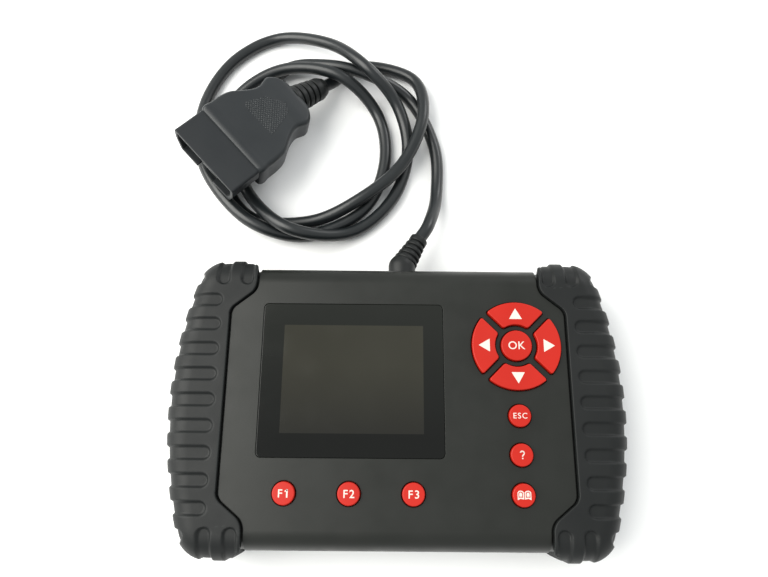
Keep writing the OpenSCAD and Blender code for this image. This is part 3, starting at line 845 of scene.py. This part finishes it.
def seam_rows(columns_y, corner_count):
    """Points of the seam edge that belong to each column, and the way from there to the bare panel."""
    quarter = seam_quarter(SEAM_GAP + LIP)
    limit = BUMPER_HALF_H - BUMPER_EDGE
    curve = quarter + [(quarter[-1][0], limit)]
    curve = [(x, -y) for x, y in reversed(curve)] + curve
    sample, lengths = polyline_sampler(curve)
    total = lengths[-1]
    ys = [p[1] for p in curve]
    bend = lengths[int(np.argmin(np.abs(np.array(ys) + 44.5)))]
    side = lengths[int(np.argmin(np.abs(np.array(ys) + SEAM_SIDE_Y)))]
    count = len(columns_y)
    low = int(np.argmin(np.abs(columns_y + 35)))
    high = count - 1 - low
    keys = [0, corner_count, low, high, count - 1 - corner_count, count - 1]
    s = np.interp(np.arange(count), keys, [0, bend, side, total - side, total - bend, total])
    edge = sample(s).T
    ahead = sample(np.minimum(s + 0.2, total)).T - sample(np.maximum(s - 0.2, 0)).T
    ahead /= np.linalg.norm(ahead, axis=1)[:, None]
    outward = np.stack([-ahead[:, 1], ahead[:, 0]], axis=1)
    return edge, outward


def bumper_mesh():
    """Grid over the right bumper from its seam on the face, round the side, to its seam on the back."""
    columns, corner_count = bumper_columns()
    flat = columns(BUMPER_EDGE)[0]
    edge, outward = seam_rows(flat[:, 1], corner_count)
    n_flat, n_round, n_wall = 28, 14, 14
    rows = []
    for k in range(n_flat):
        t = k / n_flat
        plan = edge * (1 - t) + flat * t
        rows.append((plan, np.zeros_like(plan), BUMPER_T, 1.0))
    for k in range(n_round + 1):
        a = math.pi / 2 * k / n_round
        plan, normals = columns(BUMPER_EDGE * (1 - math.sin(a)))
        rows.append((plan, normals * math.sin(a), BUMPER_T - BUMPER_EDGE * (1 - math.cos(a)), math.cos(a)))
    wall, wall_normals = columns(0.0)
    for k in range(1, n_wall // 2 + 1):
        z = BUMPER_T - BUMPER_EDGE - (BUMPER_T / 2 - BUMPER_EDGE) * k / (n_wall // 2)
        rows.append((wall, wall_normals, z, 0.0))
    mirrored = [(plan, normals, BUMPER_T - z, -up) for plan, normals, z, up in rows[-2::-1]]
    rows += mirrored

    count = len(edge)
    outer, inner, normals3 = [], [], []
    for plan, normals, z, up in rows:
        for (x, y), (nx, ny) in zip(plan, normals):
            depth = groove_depth(x, y)
            outer.append((x - nx * depth, y - ny * depth, z - up * depth))
            inner.append((x - nx * RUBBER, y - ny * RUBBER, z - up * RUBBER))
            normals3.append(Vector((nx, ny, up)))
    last = len(rows) - 1
    ring = [(0, c) for c in range(count)] + [(r, count - 1) for r in range(1, last + 1)]
    ring += [(last, c) for c in reversed(range(count - 1))] + [(r, 0) for r in reversed(range(1, last))]

    def grid(start, flip):
        faces = []
        for r in range(last):
            for c in range(count - 1):
                a, b = start + r * count + c, start + (r + 1) * count + c
                faces.append((a, b, b + 1, a + 1) if flip else (a, a + 1, b + 1, b))
        return faces

    verts = outer + inner
    faces = grid(0, True) + grid(len(outer), False)
    previous = [r * count + c for r, c in ring]
    for sink, reach in [(LIP * (1 - math.cos(a)), LIP * math.sin(a)) for a in
                        (math.pi / 6, math.pi / 3, math.pi / 2)] + [(RUBBER, LIP)]:
        start = len(verts)
        for r, c in ring:
            way = Vector((outward[c][0], outward[c][1], 0)) if r in (0, last) else Vector((-1, 0, 0))
            point = Vector(outer[r * count + c]) + way * reach - normals3[r * count + c] * sink
            verts.append(tuple(point))
        current = list(range(start, start + len(ring)))
        faces += [(previous[i], previous[(i + 1) % len(ring)], current[(i + 1) % len(ring)], current[i])
                  for i in range(len(ring))]
        previous = current
    inner_ring = [len(outer) + r * count + c for r, c in ring]
    faces += [(previous[i], previous[(i + 1) % len(ring)], inner_ring[(i + 1) % len(ring)], inner_ring[i])
              for i in range(len(ring))]
    return verts, faces


def make_bumpers():
    verts, faces = bumper_mesh()
    for name, side in (("right_bumper", 1), ("left_bumper", -1)):
        obj = make(name + "_rubber", [(side * x, y, z) for x, y, z in verts], faces, M["rubber"])
        fix_mesh(obj)
        shade(obj, 60, even=False)
        finish_piece(obj, replaces=[name])


# ---- the covers

def case_solid(name):
    """The whole case as one solid: the core under the rubber and the bare panels."""
    core = rounded_block(name, CASE_HALF_W, CASE_HALF_H - 0.3, CASE_CORNER, *CORE_Z, CASE_EDGE, 8)
    panel = rounded_block("panel", CASE_HALF_W, CASE_HALF_H, CASE_CORNER, BACK_Z, FACE_Z, CASE_EDGE, 14)
    combine(panel, prism("seam", seam_outline(0), -5, 50), "INTERSECT")
    return combine(core, panel, "UNION")


def case_hollow():
    half_h = CASE_HALF_H - WALL
    core = rounded_block("hollow", CASE_HALF_W - WALL, half_h - 0.3, CASE_CORNER - WALL, CORE_Z[0] + WALL,
                         CORE_Z[1] - WALL, CASE_EDGE - WALL, 4)
    panel = rounded_block("hollow_panel", CASE_HALF_W - WALL, half_h, CASE_CORNER - WALL, BACK_Z + WALL,
                          FACE_Z - WALL, CASE_EDGE - WALL, 4)
    combine(panel, prism("inner_seam", seam_outline(-1.2), -5, 50), "INTERSECT")
    return combine(core, panel, "UNION")


def arrow_outline(g, r=0.9, n=5):
    """Arrow key pointing along +X, grown by g, with small round corners."""
    r = max(0.15, r + g * 0.5)
    mid, half = (ARROW_OUT + ARROW_IN) / 2, (ARROW_OUT - ARROW_IN) / 2 + g

    def at(p, side, trim):
        rho = mid + p
        reach = rho * (math.pi / 4 - math.asin(ARROW_GAP / 2 / rho)) + g
        turn = side * (reach - trim) / rho
        return rho * math.cos(turn), rho * math.sin(turn)

    quarter = [math.pi / 2 * k / n for k in range(n + 1)]

    def span(p):
        rho = mid + p
        reach = math.pi / 4 - math.asin(ARROW_GAP / 2 / rho) + (g - r) / rho
        return [(rho * math.cos(a), rho * math.sin(a)) for a in np.linspace(-1, 1, 25) * reach]

    points = span(half)
    points += [at(half - r + r * math.cos(a), 1, r - r * math.sin(a)) for a in quarter[1:]]
    points += [at(p, 1, 0) for p in np.linspace(half - r, -half + r, 12)[1:-1]]
    points += [at(-half + r - r * math.cos(a), 1, r - r * math.sin(a)) for a in reversed(quarter[1:])]
    points += reversed(span(-half))
    points += [at(-half + r - r * math.cos(a), -1, r - r * math.sin(a)) for a in quarter[1:]]
    points += [at(p, -1, 0) for p in np.linspace(-half + r, half - r, 12)[1:-1]]
    points += [at(half - r + r * math.cos(a), -1, r - r * math.sin(a)) for a in reversed(quarter[1:])]
    return points


def spun(points, turn, at):
    c, s = math.cos(math.radians(turn)), math.sin(math.radians(turn))
    return [(at[0] + x * c - y * s, at[1] + x * s + y * c) for x, y in points]


def hole_cutter(name, outline, z_face, z_end, lip=0.35):
    """Cutter for a hole whose mouth at z_face has a soft edge; outline(g) is its shape grown by g."""
    up = 1 if z_face > z_end else -1
    levels = [(0, z_end), (0, z_face - up * lip)]
    levels += [(lip * (1 - math.cos(a)), z_face - up * lip * (1 - math.sin(a))) for a in
               (math.radians(x) for x in (30, 60, 90))]
    levels.append((lip, z_face + up * 3))
    return loft(name, [[(x, y, z) for x, y in outline(g)] for g, z in levels])


def wall_openings():
    usb = box("usb_cut", (-35.2, 50, SPLIT_Z), (-24.8, 62, SPLIT_Z + 5.6))
    boot = loft("boot_cut", lathe_rings([(5.5, -15), (5.5, 1)]))
    along(boot, BOOT_ROOT, 90, 90)
    return usb, boot


def make_front_cover():
    cover = case_solid("front_cover_shell")
    combine(cover, case_hollow(), "DIFFERENCE")
    combine(cover, box("lower", (-120, -80, -10), (120, 80, SPLIT_Z + 0.1)), "DIFFERENCE")
    low, high = node_box("screen_window")
    middle, size = (low + high) / 2, high - low

    def window_outline(g):
        outline = rounded_rect(size[0] + 0.3 + 2 * g, size[1] + 0.3 + 2 * g, 2.1 + g)
        return [(middle[0] + x, middle[1] + y) for x, y in outline]

    combine(cover, hole_cutter("recess", window_outline, FACE_Z, FACE_Z - 1.6, 0.25), "DIFFERENCE")
    panel_low, panel_high = node_box("lcd_panel")
    combine(cover, box("display_cut", panel_low - (0.9, 1, 4), panel_high + (0.9, 1, 4)), "DIFFERENCE")
    outlines = [lambda g: spun(circle(OK_R + KEY_CLEAR + g), 0, PAD)]
    outlines += [lambda g, turn=turn: spun(arrow_outline(KEY_CLEAR + g), turn, PAD)
                 for turn in ARROWS.values()]
    outlines += [lambda g, at=at: spun(circle(KEY_R + KEY_CLEAR + g, 48), 0, at)
                 for at in (*COLUMN_KEYS.values(), *ROW_KEYS.values())]
    cutters = [hole_cutter("key_hole", outline, FACE_Z, KEY_HOLE_END) for outline in outlines]
    for cutter in (*cutters, *wall_openings()):
        combine(cover, cutter, "DIFFERENCE")
    dress_cover(cover, "front_cover")


def make_rear_cover():
    cover = case_solid("rear_cover_shell")
    combine(cover, case_hollow(), "DIFFERENCE")
    combine(cover, box("upper", (-120, -80, SPLIT_Z - 0.1), (120, 80, 50)), "DIFFERENCE")
    for x in (-46, 46):
        for y in (-46.2, 46.2):
            sleeve = loft("screw_sleeve", lathe_rings([(4.0, BACK_Z + 1), (4.0, SPLIT_Z - 0.2)]))
            slide(sleeve, x, y)
            combine(cover, sleeve, "UNION")
            mouth = hole_cutter("counterbore", lambda g: spun(circle(3.1 + g), 0, (x, y)), BACK_Z, 5.2, 0.4)
            combine(cover, mouth, "DIFFERENCE")
            bore = loft("screw_bore", lathe_rings([(1.4, 0), (1.4, 40)], 32))
            slide(bore, x, y)
            combine(cover, bore, "DIFFERENCE")
    label = hole_cutter("label_cut", lambda g: spun(rounded_rect(86 + 2 * g, 46 + 2 * g, 3 + g), 0, (0, 4)),
                        BACK_Z, BACK_Z + 0.4, 0.2)
    combine(cover, label, "DIFFERENCE")
    for cutter in wall_openings():
        combine(cover, cutter, "DIFFERENCE")
    dress_cover(cover, "rear_cover")


def dress_cover(cover, node):
    cover.data.materials.clear()
    cover.data.materials.append(M["case"])
    for polygon in cover.data.polygons:
        polygon.material_index = 0
    shade(cover, 28)
    finish_piece(cover, replaces=[node])


# ---- the window and the keys

def make_window():
    """Glossy sheet; its clear middle shows the display, so it has a second material there."""
    low, high = node_box("screen_window")
    middle, size = (low + high) / 2, high - low
    levels = [(0.0, low[2]), (0.0, high[2] - 0.25), (0.06, high[2] - 0.08), (0.25, high[2] - 0.01)]
    rings = []
    for d, z in levels:
        outline = rounded_rect(size[0] - 2 * d, size[1] - 2 * d, 2.0 - d)
        rings.append([(middle[0] + x, middle[1] + y, z) for x, y in outline])
    count = len(rings[0])
    verts = [p for ring in rings for p in ring]
    faces = ring_faces(len(rings), count, closed_ends=False)
    faces.append(tuple(reversed(range(count))))
    top = rings[-1]
    z = top[0][2]
    view = [(-47.1, -13.0), (10.5, -13.0), (10.5, 31.1), (-47.1, 31.1)]
    base = len(verts)
    verts += [(x, y, z) for x, y in view]
    last = (len(rings) - 1) * count
    quarter = count // 4
    corners = [(quarter * k + quarter // 2) % count for k in range(4)]
    for k in range(4):
        a, b = corners[k], corners[(k + 1) % 4]
        run = [last + (a + i) % count for i in range(((b - a) % count) + 1)]
        inner_a, inner_b = base + (k + 1) % 4, base + (k + 2) % 4
        faces.append(tuple(run + [inner_b, inner_a]))
    faces.append((base, base + 1, base + 2, base + 3))
    obj = make("screen_glass", verts, faces, slots=[M["window"], M["display"]])
    obj.data.polygons[-1].material_index = 1
    shade(obj, 30)
    finish_piece(obj, replaces=["screen_window"])


def key_levels(top):
    soft = 0.45
    levels = [(0.0, 31.0), (0.0, top - soft)]
    levels += [(soft * (1 - math.cos(a)), top - soft * (1 - math.sin(a))) for a in
               (math.radians(x) for x in (22, 45, 67, 90))]
    return levels


def make_key_cap(name, outline, flange):
    rings = [[(x, y, z) for x, y in outline(flange)] for z in (30.2, 31.1)]
    rings += [[(x, y, z) for x, y in outline(-d)] for d, z in key_levels(KEY_TOP)]
    return loft(name, rings, M["key"])


def key_stem(at):
    stem = loft("stem", lathe_rings([(1.5, 27.4), (1.8, 27.7), (1.8, 30.4)], 32))
    slide(stem, *at)
    return stem


def make_round_key(node, at, r):
    cap = make_key_cap(node + "_cap", lambda g: spun(circle(r + g, 72), 0, at), 0.8)
    combine_pieces(cap, key_stem(at))
    shade(cap, 35)
    finish_piece(cap, body=node, replaces=[node])


def make_arrow_key(node, turn):
    cap = make_key_cap(node + "_cap", lambda g: spun(arrow_outline(g), turn, PAD), 0.6)
    foot = (PAD[0] + 13.3 * math.cos(math.radians(turn)), PAD[1] + 13.3 * math.sin(math.radians(turn)))
    combine_pieces(cap, key_stem(foot))
    shade(cap, 35)
    finish_piece(cap, body=node, replaces=[node])
    triangle = round_corners([(2.4, 0), (-2.2, 2.7), (-2.2, -2.7)], 0.12)
    flat_legend(node + "_sign", [spun(triangle, turn, foot)], node)


def flat_legend(name, outlines, body):
    """Printed sign: each outline is one closed patch a hair above the key."""
    verts, faces = [], []
    for outline in outlines:
        start = len(verts)
        verts += [(x, y, LEGEND_Z) for x, y in outline]
        faces.append(tuple(range(start, len(verts))))
    obj = make(name, verts, faces, M["legend"])
    turn_up(obj)
    finish_piece(obj, body=body)


def turn_up(obj):
    bm = bmesh.new()
    bm.from_mesh(obj.data)
    for face in bm.faces:
        if face.normal.z < 0:
            face.normal_flip()
    bmesh.ops.triangulate(bm, faces=bm.faces)
    bm.to_mesh(obj.data)
    bm.free()


def text_legend(name, text, at, height, body, bold=0.012, spacing=1.0):
    curve = bpy.data.curves.new(name, "FONT")
    curve.body = text
    curve.size = height / 0.73 * MM
    curve.offset = bold * height * MM
    curve.align_x = "CENTER"
    curve.align_y = "CENTER"
    curve.space_character = spacing
    curve.resolution_u = 6
    temp = bpy.data.objects.new(name, curve)
    bpy.context.scene.collection.objects.link(temp)
    bpy.context.view_layer.update()
    mesh = bpy.data.meshes.new_from_object(temp.evaluated_get(bpy.context.evaluated_depsgraph_get()))
    bpy.data.objects.remove(temp)
    xs = [v.co.x for v in mesh.vertices]
    ys = [v.co.y for v in mesh.vertices]
    middle = Vector((min(xs) + max(xs), min(ys) + max(ys), 0)) / 2
    mesh.transform(Matrix.Translation(Vector((*at, LEGEND_Z)) * MM - middle))
    mesh.materials.clear()
    mesh.materials.append(M["legend"])
    obj = bpy.data.objects.new(name, mesh)
    bpy.context.scene.collection.objects.link(obj)
    turn_up(obj)
    finish_piece(obj, body=body)


def book_outlines(at):
    """Open book: two pages, each a frame round a filled arch."""
    outlines = []
    for side in (-1, 1):
        page = [(0.15, -1.5), (0.15, 1.15), (0.75, 1.65), (1.5, 1.8), (2.25, 1.55), (2.65, 1.0), (2.65, -1.7),
                (1.5, -1.25)]
        hole = [(0.55, -0.85), (0.55, 0.95), (1.0, 1.3), (1.5, 1.4), (2.0, 1.25), (2.3, 0.8), (2.3, -0.85),
                (1.5, -0.75)]
        count = len(page)
        for i in range(count):
            j = (i + 1) % count
            quad = [page[i], page[j], hole[j], hole[i]]
            outlines.append([(at[0] + side * x, at[1] + y) for x, y in quad])
        arch = [(0.85, -0.45), (0.85, 0.7), (1.15, 1.0), (1.5, 1.1), (1.8, 0.95), (2.0, 0.6), (2.0, -0.45)]
        outlines.append([(at[0] + side * x, at[1] + y) for x, y in arch])
    return outlines


def stroke(points, width):
    """Quads along a line of points."""
    quads = []
    for a, b in zip(points, points[1:]):
        side = Vector((a[1] - b[1], b[0] - a[0])).normalized() * width / 2
        quads.append([(a[0] - side.x, a[1] - side.y), (b[0] - side.x, b[1] - side.y),
                      (b[0] + side.x, b[1] + side.y), (a[0] + side.x, a[1] + side.y)])
    return quads


def question_outlines(at):
    hook = arc(0, 0.7, 0.75, 165, -35, 14) + [(0.07, -0.3), (0.07, -0.65)]
    quads = stroke(hook, 0.5) + stroke([(0.07, -1.05), (0.07, -1.55)], 0.52)
    return [[(at[0] + x, at[1] + y) for x, y in quad] for quad in quads]


def one_outlines(at):
    quads = stroke([(0.2, 1.55), (0.2, -1.55)], 0.6) + stroke([(0.35, 1.3), (-0.65, 0.7)], 0.5)
    return [[(at[0] + x, at[1] + y) for x, y in quad] for quad in quads]


def make_keys():
    for node, turn in ARROWS.items():
        make_arrow_key(node, turn)
    make_round_key("ok_key", PAD, OK_R)
    for node, at in {**COLUMN_KEYS, **ROW_KEYS}.items():
        make_round_key(node, at, KEY_R)
    text_legend("ok_sign", "OK", PAD, 3.4, "ok_key", 0.006, 1.06)
    text_legend("esc_sign", "ESC", COLUMN_KEYS["esc_key"], 2.3, "esc_key", 0.008, 1.2)
    flat_legend("help_sign", question_outlines(COLUMN_KEYS["help_key"]), "help_key")
    flat_legend("manual_sign", book_outlines(COLUMN_KEYS["manual_key"]), "manual_key")
    for number, (node, at) in enumerate(ROW_KEYS.items(), 1):
        text_legend(f"f{number}_sign", "F", (at[0] - 1.15, at[1]), 3.1, node, 0.014)
        if number == 1:
            flat_legend("f1_number", one_outlines((at[0] + 1.25, at[1])), node)
        else:
            text_legend(f"f{number}_number", str(number), (at[0] + 1.3, at[1]), 3.1, node, 0.014)


# ---- all of it

make_camera()
relief = make_cable_boot()
plug_pieces = make_plug()
make_cable()
make_stage()
dress_kept_nodes()
make_bumpers()
make_front_cover()
make_rear_cover()
make_window()
make_keys()
